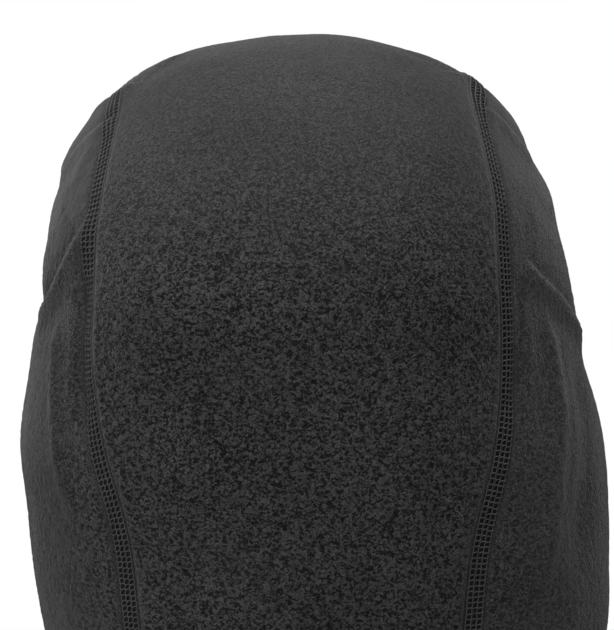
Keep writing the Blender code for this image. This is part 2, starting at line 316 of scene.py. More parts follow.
def seam_angle(name, share):
    """The angle of a seam, by its name, at shares of the way from hem to face."""
    side = 1 if name.startswith("left") else -1
    if name.endswith("chin_seam"):
        return side * np.interp(share, SEAM_SHARES, CHIN_SEAM)
    lean = smooth_curve(SEAM_LEAN, share) / ring(share)[3]
    return side * np.interp(share, SEAM_SHARES, BACK_SEAM) - lean


# Noise: smooth, the same at every run, and laid out in space, so that it crosses seams.


def lattice_noise(points, cell, seed):
    """Gradient noise from about -1 to 1 with features one cell across."""
    table = np.random.default_rng(seed).normal(size=(4096, 3))
    table /= np.linalg.norm(table, axis=1, keepdims=True)
    place = points / cell
    corner = np.floor(place).astype(np.int64)
    inside = place - corner
    fade = inside**3 * (inside * (inside * 6 - 15) + 10)
    total = np.zeros(points.shape[:-1])
    for dx in (0, 1):
        for dy in (0, 1):
            for dz in (0, 1):
                at = corner + (dx, dy, dz)
                key = (at[..., 0] * 73856093) ^ (at[..., 1] * 19349663) ^ (at[..., 2] * 83492791)
                slope = table[(key ^ (key >> 13)) % 4096]
                height = np.sum(slope * (inside - (dx, dy, dz)), -1)
                share = (
                    np.where(dx, fade[..., 0], 1 - fade[..., 0])
                    * np.where(dy, fade[..., 1], 1 - fade[..., 1])
                    * np.where(dz, fade[..., 2], 1 - fade[..., 2])
                )
                total += height * share
    return total * 1.6


# The drape: what loose cloth adds to the form.


def round_back(points):
    """The direction of points round the upright axis: 0 at the back, 90 degrees at +X."""
    return np.degrees(np.arctan2(points[..., 0], points[..., 1] - CROWN_BACK))


@functools.cache
def on_form(path):
    """Points of the form along a path of (degrees round, height in millimetres), and the
    direction to the right of each step between them."""
    steps = np.arange(len(path))
    at = np.linspace(0, len(path) - 1, 4 * len(path))
    turn, z = (np.interp(at, steps, values) for values in np.array(path, float).T)
    turn, z = np.radians(turn), z / 1000
    low, high = np.zeros(len(at)), np.full(len(at), 0.15)
    for _ in range(HALVINGS):
        middle = (low + high) / 2
        out = outside(middle * np.sin(turn), CROWN_BACK + middle * np.cos(turn), z) > 0
        low, high = np.where(out, low, middle), np.where(out, middle, high)
    line = np.stack([low * np.sin(turn), CROWN_BACK + low * np.cos(turn), z], -1)
    return line, np.cross(np.diff(line, axis=0), outward(line[:-1]))


def off_path(points, path):
    """Each point's distance from a path, above 0 on its right, and how far along it is."""
    line, rights = on_form(tuple(path))
    nearest = np.full(points.shape[:-1], 1.0)
    side, along = np.ones_like(nearest), np.zeros_like(nearest)
    for k, (a, b, right) in enumerate(zip(line, line[1:], rights)):
        run = b - a
        t = np.clip((points - a) @ run / (run @ run), 0, 1)
        off = points - a - t[..., None] * run
        distance = np.linalg.norm(off, axis=-1)
        closer = distance < nearest
        nearest = np.where(closer, distance, nearest)
        side = np.where(closer, np.sign(off @ right), side)
        along = np.where(closer, (k + t) / (len(line) - 1), along)
    return nearest * side, along


def near_to(points, path, reach):
    """Which points lie near enough to a path to feel it."""
    line, _ = on_form(tuple(path))
    low, high = line.min(0) - reach, line.max(0) + reach
    return np.all((points > low) & (points < high), -1)


def drape(points):
    """How far the cloth stands off the form at points on it."""
    shape = points.shape[:-1]
    points = points.reshape(-1, 3)
    turn = round_back(points)
    z = points[:, 2]
    beside = ease(30, 78, np.abs(turn)) * (1 - ease(112, 150, np.abs(turn)))
    beside *= ease(0.010, 0.045, np.abs(points[:, 0]))
    total = beside * np.where(turn > 0, smooth_curve(LEFT_LOOSE, z), smooth_curve(RIGHT_LOOSE, z))
    total += 0.0010 * lattice_noise(points * (1, 1, 0.6), 0.042, 11)
    total += 0.0004 * lattice_noise(points * (1, 1, 0.7), 0.017, 12)
    for path, width, height in RIDGES:
        near = near_to(points, path, 3 * width)
        off, along = off_path(points[near], path)
        ends = ease(0, 0.25, along) * (1 - ease(0.75, 1, along))
        total[near] += height * ends * np.exp(-((off / width) ** 2))
    for path, crest, swell in FOLDS:
        near = near_to(points, path, 3 * FOLD_SWELL)
        off, along = off_path(points[near], path)
        ends = ease(0, 0.22, along) * (1 - ease(0.85, 1, along))
        rise = crest * np.exp(-((off / np.where(off > 0, FOLD_FAR, FOLD_NEAR)) ** 2))
        out = np.maximum(off, 0) / FOLD_SWELL
        beyond = swell * out * np.exp(1 - out) * (1 - ease(1.6, 2.9, out))
        total[near] += ends * (rise + beyond)
    return (total * ease(0.008, 0.035, z)).reshape(shape)


def fold_lines(points):
    """1 along the folds' crests, where the nap is painted lighter as a highlight, and 0 away from them.
    """
    shape = points.shape[:-1]
    points = points.reshape(-1, 3)
    total = np.zeros(len(points))
    for path, _, _ in FOLDS:
        near = near_to(points, path, 5 * FOLD_LINE)
        off, along = off_path(points[near], path)
        ends = ease(0, 0.35, along) * (1 - ease(0.6, 1, along))
        total[near] += ends * np.exp(-((off / FOLD_LINE) ** 2))
    return total.reshape(shape)


# Meshes.


def make_piece(name, points, faces, finish, extras=None, corners=None):
    """One smooth-shaded piece. extras are named values at its points, and corners the
    place on the cloth of each face's corners, as rows of (along, across, 0)."""
    mesh = bpy.data.meshes.new(name)
    mesh.from_pydata(points.reshape(-1, 3).tolist(), [], faces)
    for label, values in (extras or {}).items():
        layer = mesh.attributes.new(label, "FLOAT", "POINT")
        layer.data.foreach_set("value", np.ascontiguousarray(values, np.float32).ravel())
    if corners is not None:
        layer = mesh.attributes.new("strip", "FLOAT_VECTOR", "CORNER")
        layer.data.foreach_set("vector", np.ascontiguousarray(corners, np.float32).ravel())
    mesh.materials.append(finish)
    mesh.shade_smooth()
    made = bpy.data.objects.new(name, mesh)
    bpy.context.scene.collection.objects.link(made)
    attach(made, "root")
    return made


def grid_corners(rows, columns, wrap_rows=False, wrap_columns=False):
    """The row and column of each corner of a grid's faces, past the end where it wraps."""
    i, j = np.meshgrid(
        np.arange(rows if wrap_rows else rows - 1),
        np.arange(columns if wrap_columns else columns - 1),
        indexing="ij",
    )
    row = np.stack([i, i + 1, i + 1, i], -1).reshape(-1, 4)
    column = np.stack([j, j, j + 1, j + 1], -1).reshape(-1, 4)
    return row, column


def grid_faces(rows, columns, start=0, flip=False):
    row, column = grid_corners(rows, columns)
    faces = row * columns + column + start
    return (faces[:, ::-1] if flip else faces).tolist()


def rim_faces(outer, inner):
    """Faces between a fine edge and a coarse one, which has every second point."""
    faces = []
    for k in range(len(inner) - 1):
        a, b, c = outer[2 * k], outer[2 * k + 1], outer[2 * k + 2]
        faces += [(a, b, inner[k]), (b, inner[k + 1], inner[k]), (b, c, inner[k + 1])]
    return faces


def panel_piece(name, face, lining, finish, extras):
    """A closed piece from the grid of its face and the coarser grid of its inside."""
    rows, columns = face.shape[:2]
    lining_rows, lining_columns = lining.shape[:2]
    start = rows * columns
    count = lining_rows * lining_columns
    faces = grid_faces(rows, columns)
    faces += grid_faces(lining_rows, lining_columns, start, flip=True)
    outer = np.arange(start).reshape(rows, columns)
    inner = np.arange(start, start + count).reshape(lining_rows, lining_columns)
    for far, near in (
        (outer[0], inner[0]),
        (outer[:, -1], inner[:, -1]),
        (outer[-1, ::-1], inner[-1, ::-1]),
        (outer[::-1, 0], inner[::-1, 0]),
    ):
        faces += rim_faces(far.tolist(), near.tolist())
    points = np.concatenate([face.reshape(-1, 3), lining.reshape(-1, 3)])
    filled = {
        label: np.concatenate([values.ravel(), np.full(count, inside)])
        for label, (values, inside) in extras.items()
    }
    return make_piece(name, points, faces, finish, filled)


def loft(name, points, finish, ring_shaped):
    """A closed strip of points (section, along, xyz), whose sections are closed loops.
    A ring-shaped one joins its ends, and any other has them closed."""
    rows, columns = points.shape[:2]
    row, column = grid_corners(rows, columns, True, ring_shaped)
    faces = ((row % rows) * columns + column % columns).tolist()
    closed = np.concatenate([points, points[:1]])
    across = lengths_along(closed.mean(1) if not ring_shaped else closed[:, 0])
    whole = np.concatenate([points, points[:, :1]], 1) if ring_shaped else points
    along = lengths_along(whole[0])
    corners = np.stack([along[column], across[row], np.zeros(row.shape)], -1).reshape(-1, 3)
    if not ring_shaped:
        for end in (0, columns - 1):
            loop = [k * columns + end for k in range(rows)]
            faces.append(loop if end == 0 else loop[::-1])
            cap = np.stack([np.full(rows, along[end]), across[:-1], np.zeros(rows)], -1)
            corners = np.concatenate([corners, cap])
    return make_piece(name, points, faces, finish, corners=corners)


def tubes(paths, ups, radius, sides=5):
    """The points and faces of closed round threads. paths is an array (threads, points,
    xyz), and ups points roughly across each path."""
    count, length = paths.shape[:2]
    along = np.gradient(paths, axis=1)
    along /= np.linalg.norm(along, axis=-1, keepdims=True)
    across = np.cross(along, ups)
    across /= np.linalg.norm(across, axis=-1, keepdims=True)
    rise = np.cross(across, along)
    turn = np.linspace(0, 2 * math.pi, sides, endpoint=False)[:, None]
    ways = np.cos(turn) * across[..., None, :] + np.sin(turn) * rise[..., None, :]
    size = np.full(length, radius)
    size[[0, -1]] *= 0.55
    rings = paths[:, :, None] + ways * size[:, None, None]
    reach = np.array([-radius, radius])[:, None] / 2
    ends = paths[:, [0, -1]] + along[:, [0, -1]] * reach
    points = np.concatenate([rings.reshape(count, -1, 3), ends], 1)
    each = points.shape[1]
    row, column = grid_corners(length, sides, False, True)
    one = (row * sides + column % sides).tolist()
    last = (length - 1) * sides
    for k in range(sides):
        following = (k + 1) % sides
        one.append([k, following, each - 2])
        one.append([last + following, last + k, each - 1])
    faces = [[v + n * each for v in face] for n in range(count) for face in one]
    return points.reshape(-1, 3), faces


def thread_piece(name, groups, finish, radius=THREAD_RADIUS):
    """One piece from groups of threads, given as (paths, ups) pairs."""
    points, faces = [], []
    start = 0
    for paths, ups in groups:
        more, made = tubes(paths, ups, radius)
        points.append(more)
        faces += [[v + start for v in face] for face in made]
        start += len(more)
    return make_piece(name, np.concatenate(points), faces, finish)


# The panels.


def nap(points, turn):
    """The height of the curled nap, 0 in its gaps and 1 on its tufts, and its strength."""
    bend = np.stack([lattice_noise(points, CURL * 1.7, seed) for seed in (21, 22, 23)], -1)
    place = (points + bend * CURL * 0.55) * (1, 1, 1.35)
    curl = 0.5 + 0.5 * np.tanh(2.2 * lattice_noise(place, CURL, 24))
    patch = 0.5 + 0.5 * lattice_noise(points, 0.030, 25)
    low = 1 - ease(0.262, 0.325, points[..., 2])
    middle = 1 - 0.70 * ease(35, 58, np.abs(turn))
    strength = np.clip(0.25 + 0.75 * low * middle * (0.75 + 0.5 * patch), 0, 1)
    return curl, strength


SEAMS = ("left_back_seam", "left_chin_seam", "right_back_seam", "right_chin_seam")


@functools.cache
def width_per_angle(name):
    """How wide one radian of the ring is, measured square across a seam, at SEAM_SHARES."""
    angle = seam_angle(name, SEAM_SHARES)
    path = surface(angle, SEAM_SHARES)
    way = np.gradient(path, axis=0)
    way /= np.linalg.norm(way, axis=1, keepdims=True)
    small = 0.001
    aside = (surface(angle + small, SEAM_SHARES) - path) / small
    aside -= np.sum(aside * way, axis=1, keepdims=True) * way
    return np.linalg.norm(aside, axis=1)


def seam_distance(angle, share):
    """The distance to the nearest of the seams."""
    nearest = np.full(angle.shape, 1.0)
    for name in SEAMS:
        around = (angle - seam_angle(name, share) + math.pi) % (2 * math.pi) - math.pi
        width = np.interp(share, SEAM_SHARES, width_per_angle(name))
        nearest = np.minimum(nearest, np.abs(around) * width)
    return nearest


def panel(name, seams, size, grid, finish):
    """A fleece panel between two seams, the second of them further round."""
    width, length = size
    rows = 2 * round(length / grid / 2) + 1
    columns = 2 * round(width / grid / 2) + 1
    share = np.linspace(0, 1, rows)
    mix = np.linspace(0, 1, columns)
    gap = 0.00015 / ring(share)[3]
    start, stop = (seam_angle(seam, share) for seam in seams)
    stop = np.where(stop < start, stop + 2 * math.pi, stop)
    start, stop = start + gap, stop - gap
    angle = start[:, None] * (1 - mix) + stop[:, None] * mix
    base = surface(angle, share[:, None])
    normal = outward(base)
    stand = drape(base)
    off_seam = seam_distance(angle, share[:, None])
    groove = GROOVE * (1 - ease(0.0028, 0.0048, off_seam))
    curl, strength = nap(base, round_back(base))
    clear = ease(0.003, 0.006, off_seam)
    tuft = (curl - 0.5) * strength * clear * CURL_HEIGHT * 2
    face = base + normal * (stand + tuft - groove)[..., None]
    lining = (base - normal * (FLEECE - stand)[..., None])[::2, ::2]
    extras = {
        # curl and strength also set the painted shade in the nap's gaps and the painted light on its
        # tufts
        "curl": (curl, 0.5),
        "strength": (strength * clear, 0.4),
        # the seam band: partly nap pressed down by the threads, partly painted shade in the holes
        # between them
        "seam": (1 - ease(0.0024, 0.0042, off_seam), 0.0),
        # painted highlight: marks the folds' crests, where the colour is made lighter
        "crest_highlight": (fold_lines(base), 0.0),
    }
    return panel_piece(name, face, lining, finish, extras)


# Seam threads.


def seam_shares(name):
    """Shares at each quarter of a stitch along a seam, between its two bindings."""
    shares = np.linspace(0, 1, 2 * FINE)
    along = lengths_along(surface(seam_angle(name, shares), shares))
    margin = BINDING_WIDTH + 0.0015
    stitches = int((along[-1] - 2 * margin) / STITCH)
    return np.interp(margin + STITCH * np.arange(4 * stitches + 1) / 4, along, shares)


def by_seam(name, share, across, height):
    """Points square across a seam and above the cloth's pressed face, and the normals."""
    line = surface(seam_angle(name, SEAM_SHARES), SEAM_SHARES)
    ways = np.gradient(line, axis=0)
    middle = surface(seam_angle(name, share), share)
    way = np.stack([np.interp(share, SEAM_SHARES, part) for part in ways.T], -1)
    aside = np.cross(way, outward(middle))
    aside /= np.linalg.norm(aside, axis=-1, keepdims=True)
    base = to_form(middle + aside * np.asarray(across)[..., None])
    normal = outward(base)
    return base + normal * (drape(base) + height)[..., None], normal


def seam_threads(name, finish, seed):
    """The two faces of a flat seam, where four needle threads cross to each other."""
    share = seam_shares(name)
    random = np.random.default_rng(seed)
    quarter = np.arange(len(share)) / 4
    lift = np.abs(np.sin(math.pi * quarter))
    stitches = share[::4]
    steps = np.gradient(stitches) / STITCH
    arch = np.sin(math.pi * np.linspace(0, 1, 5))
    for side, piece in ((1, "cover"), (-1, "looper")):
        floor = -GROOVE if side > 0 else -FLEECE
        rows = []
        for across in NEEDLE_ROWS:
            stray = 0.00006 * random.normal(size=len(share))
            height = floor + side * (0.00040 * lift - 0.00008)
            rows.append(by_seam(name, share, across + stray, height))
        paths, ups = (np.stack(part) for part in zip(*rows))
        groups = [(paths, ups)]
        slant = 0.30 if side > 0 else 0.50
        for low, high in zip(NEEDLE_ROWS, NEEDLE_ROWS[1:]):
            mix = np.linspace(0, 1, 5)
            bow = 0.00030 * arch + slant * STITCH * mix
            stray = 0.00009 * random.normal(size=(len(stitches), 1))
            at = stitches[:, None] + steps[:, None] * (bow + stray)
            across = np.broadcast_to(low + (high - low) * mix, at.shape)
            height = floor + side * (0.00012 + 0.00026 * arch)
            groups.append(by_seam(name, at, across, np.broadcast_to(height, at.shape)))
        made = thread_piece(f"{name}_{piece}_stitches", groups, finish)
        stands_for(f"{name}_{piece}_thread")


def stands_for(node):
    """Hides the CAD node that a piece replaces."""
    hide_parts(node)


# The edges: bindings, their stitching, and the elastic.


def round_edge(edge, count=None, spacing=0.001):
    """Evenly spaced angles round an edge of the cloth, and the edge's length."""
    turn = np.linspace(0, 2 * math.pi, 2 * FINE)
    along = lengths_along(surface(turn, edge))
    count = count or round(along[-1] / spacing)
    at = np.linspace(0, along[-1], count, endpoint=False)
    return np.interp(at, along, turn), along[-1]


@functools.cache
def inset_table(edge, reach):
    """Angles round an edge, shares of the way in from it, and how far in those are."""
    turn = np.linspace(0, 2 * math.pi, 145)
    inwards = -1 if edge else 1
    shares = edge + inwards * np.linspace(0, reach, 60)
    steps = np.linalg.norm(np.diff(surface(turn, shares[:, None]), axis=0), axis=-1)
    return turn, shares, np.concatenate([np.zeros((1, len(turn))), np.cumsum(steps, axis=0)])


def by_edge(edge, angle, distance, height, reach=0.14):
    """Points (rows, angles, xyz) by an edge, 0 the hem and 1 the face, and the normals
    there. distance is how far in from the edge, or past it below 0, and height is how
    far above the cloth. reach is the share of the cloth that has all of them."""
    distance, height = np.broadcast_arrays(distance, height)
    distance = np.broadcast_to(distance, (len(distance), len(angle)))
    height = np.broadcast_to(height, distance.shape)
    turn, shares, run = inset_table(edge, reach)
    run = np.stack([np.interp(angle % (2 * math.pi), turn, row) for row in run])
    inside = np.maximum(distance, 0)
    at = np.stack([np.interp(inside[:, k], run[:, k], shares) for k in range(len(angle))], -1)
    base = surface(angle, at)
    normal = outward(base)
    past = surface(angle, edge) - surface(angle, shares[3])
    past /= np.linalg.norm(past, axis=-1, keepdims=True)
    points = base + normal * (drape(base) + height)[..., None]
    return points + past * np.maximum(-distance, 0)[..., None], normal


def binding_section(inner, turn):
    """A binding's closed section, as (distance in from the edge, height, outer) columns:
    its visible skin from the outer edge round the fold to the inner one, then back."""
    skin = np.linspace(BINDING_WIDTH, 0, 21)
    pressed = sum(np.exp(-(((skin - row) / 0.0007) ** 2)) for row in TOPSTITCH_ROWS)
    full = BINDING * (0.35 + 0.65 * ease(0, 0.0012, BINDING_WIDTH - skin)) - 0.00028 * pressed
    bend = np.linspace(0, math.pi, 9)[1:-1]
    top = BINDING_GAP + BINDING
    bottom = inner - BINDING
    middle, half = (top + bottom) / 2, (top - bottom) / 2
    under = np.array([BINDING_WIDTH, BINDING_WIDTH / 2, 0.0003])
    parts = [
        (skin, BINDING_GAP + full, 1),
        (-turn * np.sin(bend), middle + half * np.cos(bend), 0),
        (skin[::-1], inner - full[::-1], -1),
        (under, np.full(3, inner), 0),
        (under[::-1], np.full(3, BINDING_GAP), 0),
    ]
    columns = [np.broadcast_arrays(*part) for part in parts]
    return np.concatenate([np.stack(part, -1) for part in columns], 0).T


def binding(name, node, edge, inner, turn, finish):
    """A stretch binding folded round an edge, slightly puckered by its stitches."""
    angle, length = round_edge(edge)
    distance, height, outer = binding_section(inner, turn)[..., None]
    base = surface(angle, edge)
    stitch = np.linspace(0, round(length / TOPSTITCH), len(angle), endpoint=False)
    pucker = 0.00013 * np.cos(2 * math.pi * stitch) + 0.00022 * lattice_noise(base, 0.0075, 31)
    middle = np.sin(math.pi * np.clip(distance / BINDING_WIDTH, 0, 1))
    wander = 0.0003 * lattice_noise(base, 0.022, 32) * ease(0.006, BINDING_WIDTH, distance)
    points, _ = by_edge(edge, angle, distance + wander, height + outer * middle * pucker)
    if edge == 0:
        points[..., 2] = np.maximum(points[..., 2], 0.00002)
    piece = loft(name, points[::-1] if edge == 0 else points, finish, True)
    stands_for(node)
    return piece, length


def edge_stitching(name, node, edge, level, outer, finish):
    """The stitching of a binding: two rows of stitches outside, a looped net inside."""
    _, length = round_edge(edge)
    count = round(length / TOPSTITCH)
    side = 1 if outer else -1
    groups = []
    if outer:
        angle, _ = round_edge(edge, count * 6)
        lift = 0.00020 * np.sin(math.pi * np.arange(5) / 4) - 0.00010
        for row in TOPSTITCH_ROWS:
            points, ups = by_edge(edge, angle, np.array([[row]]), np.array([[level]]))
            points, ups = points.reshape(count, 6, 3)[:, :5], ups.reshape(count, 6, 3)[:, :5]
            groups.append((points + ups * lift[:, None], ups))
    else:
        angle, _ = round_edge(edge, count * 8)
        step = np.arange(count * 8) / 8 * 2 * math.pi
        middle = sum(TOPSTITCH_ROWS) / 2
        half = TOPSTITCH_ROWS[1] - middle
        for phase in (0, math.pi):
            distance = middle + half * np.sin(step + phase)
            lift = side * 0.00012 * (1 + np.cos(2 * step + phase))
            points, ups = by_edge(edge, angle, distance[None], level + lift[None])
            groups.append((points[:, :-1], ups[:, :-1]))
    piece = thread_piece(name, groups, finish, radius=0.00016)
    stands_for(node)
    return piece


def elastic_tape(finish):
    """The ribbed elastic inside the face binding."""
    angle, _ = round_edge(1.0)
    ribs = 7
    across = np.linspace(0, 1, 6 * ribs + 1)
    rib = 0.00012 * np.cos(2 * math.pi * ribs * across)
    rounded = ELASTIC / 2 * (0.4 + 0.6 * ease(0, 0.06, np.minimum(across, 1 - across)))
    middle = -(FLEECE + INNER_GAP / 2 + ELASTIC / 2)
    distance = 0.0010 + ELASTIC_WIDTH * across
    upper = np.stack([distance, middle + rounded - 0.00012 + rib])
    lower = np.stack([distance, middle - rounded + 0.00012 - rib])[:, ::-1]
    distance, height = np.concatenate([upper, lower], 1)[..., None]
    points, _ = by_edge(1.0, angle, distance, height)
    piece = loft("face_elastic_tape", points[::-1], finish, True)
    stands_for("face_elastic")


def edges(finishes):
    """The bindings of the face opening and the hem, with all that is sewn into them."""
    thread = finishes["thread"]
    top = BINDING_GAP + BINDING
    face_inner = -(FLEECE + INNER_GAP + ELASTIC + BINDING_GAP)
    hem_inner = -(FLEECE + INNER_GAP)
    for name, edge, inner, turn in (
        ("face", 1.0, face_inner, 0.0015),
        ("neck", 0.0, hem_inner, HEM_HEIGHT),
    ):
        strip, length = binding(
            f"{name}_binding_strip", f"{name}_binding", edge, inner, turn, finishes["binding"]
        )
        sewn = [
            edge_stitching(
                f"{name}_{part}_stitches", f"{name}_binding_{part}", edge, level, outer, thread
            )
            for part, level, outer in (
                ("topstitch", top - 0.00008, True),
                ("understitch", inner - BINDING - 0.00002, False),
            )
        ]
    elastic_tape(finishes["elastic"])


# The care label.


def label(finishes):
    """The blank label inside the nape, hemmed at both ends and sewn down at its top."""
    along = np.linspace(0, 1, 45)
    across = np.linspace(-0.5, 0.5, 31)
    reach = surface(0.0, 0.09)[1]
    angle = across * LABEL_WIDTH / reach
    hem = 1 - ease(0.085, 0.10, np.minimum(along, 1 - along))
    loose = (1 - along)[:, None] * (0.0006 + 0.0009 * across**2 * 4)
    wave = 0.00020 * np.sin(9 * along)[:, None] * np.cos(5 * across)
    back = -(FLEECE + LABEL_GAP) - loose - wave
    distance = LABEL_START + LABEL_LENGTH * along[:, None]
    thick = LABEL * (1 + 0.8 * hem)[:, None]
    far, _ = by_edge(0.0, angle, distance, back, LABEL_REACH)
    near, _ = by_edge(0.0, angle, distance, back - thick, LABEL_REACH)
    section = np.concatenate([far.swapaxes(0, 1), near.swapaxes(0, 1)[::-1]])
    piece = loft("care_label_patch", section, finishes["label"], False)
    stands_for("care_label")
    count = 4 * TACK_ZIGZAGS + 1
    at = np.linspace(-0.5, 0.5, count)
    step = np.linspace(0, 2 * math.pi * TACK_ZIGZAGS, count)
    distance = LABEL_START + LABEL_LENGTH - TACK_INSET + 0.0008 * np.sin(step)
    height = -(FLEECE + LABEL_GAP) - 1.8 * LABEL - 0.00006 - 0.00008 * np.cos(2 * step)
    paths, ups = by_edge(0.0, at * TACK_WIDTH / reach, distance[None], height[None], LABEL_REACH)
    tack = thread_piece("label_tack_stitches", [(paths, ups)], finishes["thread"], TACK_RADIUS)
    stands_for("label_tack_thread")


# Materials.


class Finish:
    """A material in the making, with short ways to add its nodes."""

    def __init__(self, name, specular, sheen=0.0, sheen_roughness=0.4):
        self.material = bpy.data.materials.new(name)
        self.material.use_nodes = True
        self.tree = self.material.node_tree
        self.shader = self.tree.nodes["Principled BSDF"]
        self.shader.inputs["Specular IOR Level"].default_value = specular
        self.shader.inputs["Sheen Weight"].default_value = sheen
        self.shader.inputs["Sheen Roughness"].default_value = sheen_roughness
        self.place = self.tree.nodes.new("ShaderNodeTexCoord").outputs["Object"]

    def plug(self, socket, value):
        if isinstance(value, bpy.types.NodeSocket):
            self.tree.links.new(value, socket)
        else:
            socket.default_value = value

    def math(self, operation, *values):
        node = self.tree.nodes.new("ShaderNodeMath")
        node.operation = operation
        for socket, value in zip(node.inputs, values):
            self.plug(socket, value)
        return node.outputs["Value"]

    def noise(self, scale, detail=2.0, distortion=0.0, squeeze=(1, 1, 1)):
        stretch = self.tree.nodes.new("ShaderNodeMapping")
        stretch.inputs["Scale"].default_value = squeeze
        self.plug(stretch.inputs["Vector"], self.place)
        node = self.tree.nodes.new("ShaderNodeTexNoise")
        node.inputs["Scale"].default_value = scale
        node.inputs["Detail"].default_value = detail
        node.inputs["Distortion"].default_value = distortion
        self.plug(node.inputs["Vector"], stretch.outputs["Vector"])
        return node.outputs["Fac"]

    def between(self, value, low, high, to_low=0.0, to_high=1.0):
        """A value's rise from low to high, as a smooth rise from to_low to to_high."""
        node = self.tree.nodes.new("ShaderNodeMapRange")
        node.interpolation_type = "SMOOTHSTEP"
        node.inputs["From Min"].default_value = low
        node.inputs["From Max"].default_value = high
        node.inputs["To Min"].default_value = to_low
        node.inputs["To Max"].default_value = to_high
        self.plug(node.inputs["Value"], value)
        return node.outputs["Result"]

    def attribute(self, name):
        node = self.tree.nodes.new("ShaderNodeAttribute")
        node.attribute_name = name
        return node.outputs["Fac"]

    def strip(self):
        """The places along and across a strip of cloth, in metres."""
        node = self.tree.nodes.new("ShaderNodeAttribute")
        node.attribute_name = "strip"
        parts = self.tree.nodes.new("ShaderNodeSeparateXYZ")
        self.plug(parts.inputs["Vector"], node.outputs["Vector"])
        return parts.outputs["X"], parts.outputs["Y"]

    def colour(self, colour, shade):
        """Sets the colour, made lighter or darker by a shade round 1."""
        node = self.tree.nodes.new("ShaderNodeMix")
        node.data_type = "RGBA"
        node.clamp_factor = False
        black, full = (socket for socket in node.inputs if socket.type == "RGBA")
        black.default_value = (0, 0, 0, 1)
        full.default_value = (*colour, 1)
        self.plug(node.inputs["Factor"], shade)
        result = next(socket for socket in node.outputs if socket.type == "RGBA")
        self.plug(self.shader.inputs["Base Color"], result)

    def roughness(self, value):
        self.plug(self.shader.inputs["Roughness"], value)

    def bump(self, height, distance, strength=1.0):
        node = self.tree.nodes.new("ShaderNodeBump")
        node.inputs["Distance"].default_value = distance
        self.plug(node.inputs["Strength"], strength)
        self.plug(node.inputs["Height"], height)
        self.plug(self.shader.inputs["Normal"], node.outputs["Normal"])


def fleece():
    """Napped charcoal fleece with curled tufts, painted shade in their gaps and in the seams, and a
    painted highlight along fold crests.
    """
    made = Finish("fleece", 0.10, sheen=0.22, sheen_roughness=0.30)
    strength = made.attribute("strength")
    clumps = made.noise(860, 2.0, 0.9, (1, 1, 1.2))
    curls = made.between(clumps, 0.36, 0.62)
    fibres = made.noise(1700, 3.0, 0.6)
    fuzz = made.noise(4200, 2.0, 0.5)
    # Painted shade in the nap's gaps and painted light on its tufts, more so where the nap is strong.
    gaps = made.math("MULTIPLY_ADD", made.attribute("curl"), 0.14, made.math("MULTIPLY", curls, 0.86))
    painted_gap_shade = made.math("SUBTRACT", made.between(gaps, 0.1, 0.9, 0.28, 1.50), 1.0)
    shade = made.math("MULTIPLY_ADD", strength, painted_gap_shade, 1.0)
    for value, low, high in (
        (made.between(fibres, 0.3, 0.7), 0.60, 1.40),
        (made.between(fuzz, 0.3, 0.7), 0.75, 1.25),
        (made.between(made.noise(22), 0.3, 0.7), 0.90, 1.10),
        # The seam band is darker: partly pressed nap, partly painted shade between the threads.
        (made.attribute("seam"), 1.0, 0.42),
        # painted highlight: lighter colour along the folds' crests
        (made.attribute("crest_highlight"), 1.0, 1.6),
    ):
        shade = made.math("MULTIPLY", shade, made.math("MULTIPLY_ADD", value, high - low, low))
    made.colour((0.0500, 0.0500, 0.0515), shade)
    made.roughness(made.between(fibres, 0.3, 0.7, 0.88, 1.0))
    tufts = made.math("MULTIPLY", clumps, made.math("MULTIPLY_ADD", strength, 1.2, 0.3))
    tufts = made.math("MULTIPLY_ADD", fibres, 0.45, tufts)
    made.bump(made.math("MULTIPLY_ADD", fuzz, 0.20, tufts), 0.0009, 0.75)
    return made.material


def stretch_binding():
    """Fine stretch knit: narrow ribs of V-shaped stitches."""
    made = Finish("stretch_binding", 0.25, sheen=0.08)
    along, across = made.strip()
    ribs = made.math("FRACT", made.math("MULTIPLY", across, 1300))
    slope = made.math("ABSOLUTE", made.math("SUBTRACT", ribs, 0.5))
    legs = made.math("MULTIPLY_ADD", along, 9000, made.math("MULTIPLY", slope, 6.0))
    knit = made.math("MULTIPLY_ADD", made.math("SINE", legs), 0.5, 0.5)
    raised = made.math("MULTIPLY", knit, made.between(slope, 0.5, 0.28))
    fibres = made.noise(2400, 3.0)
    shade = made.math("MULTIPLY", made.between(raised, 0, 1, 0.70, 1.20),
                      made.between(fibres, 0.3, 0.7, 0.80, 1.20))
    shade = made.math("MULTIPLY", shade, made.between(made.noise(60), 0.3, 0.7, 0.90, 1.10))
    made.colour((0.030, 0.030, 0.031), shade)
    made.roughness(made.between(fibres, 0.3, 0.7, 0.65, 0.90))
    made.bump(made.math("MULTIPLY_ADD", fibres, 0.3, raised), 0.00025)
    return made.material


def thread():
    """Twisted polyester thread."""
    made = Finish("thread", 0.35, sheen=0.15)
    strands = made.noise(3800, 2.0, 0.8)
    shade = made.math("MULTIPLY", made.between(strands, 0.35, 0.65, 0.65, 1.30),
                      made.between(made.noise(300), 0.3, 0.7, 0.85, 1.15))
    made.colour((0.080, 0.080, 0.082), shade)
    made.roughness(made.between(strands, 0.3, 0.7, 0.50, 0.75))
    made.bump(strands, 0.00012)
    return made.material


def elastic():
    """Woven elastic: rubber cords under crosswise yarns."""
    made = Finish("elastic", 0.30)
    along, across = made.strip()
    yarns = made.math("MULTIPLY_ADD", made.math("SINE", made.math("MULTIPLY", along, 8400)), 0.5, 0.5)
    cords = made.math("SINE", made.math("MULTIPLY", across, 6300))
    weave = made.math("MULTIPLY_ADD", cords, 0.25, yarns)
    fibres = made.noise(2600, 2.0)
    shade = made.math("MULTIPLY", made.between(weave, 0, 1, 0.70, 1.25),
                      made.between(fibres, 0.3, 0.7, 0.85, 1.15))
    made.colour((0.020, 0.020, 0.021), shade)
    made.roughness(made.between(fibres, 0.3, 0.7, 0.60, 0.85))
    made.bump(weave, 0.00015)
    return made.material


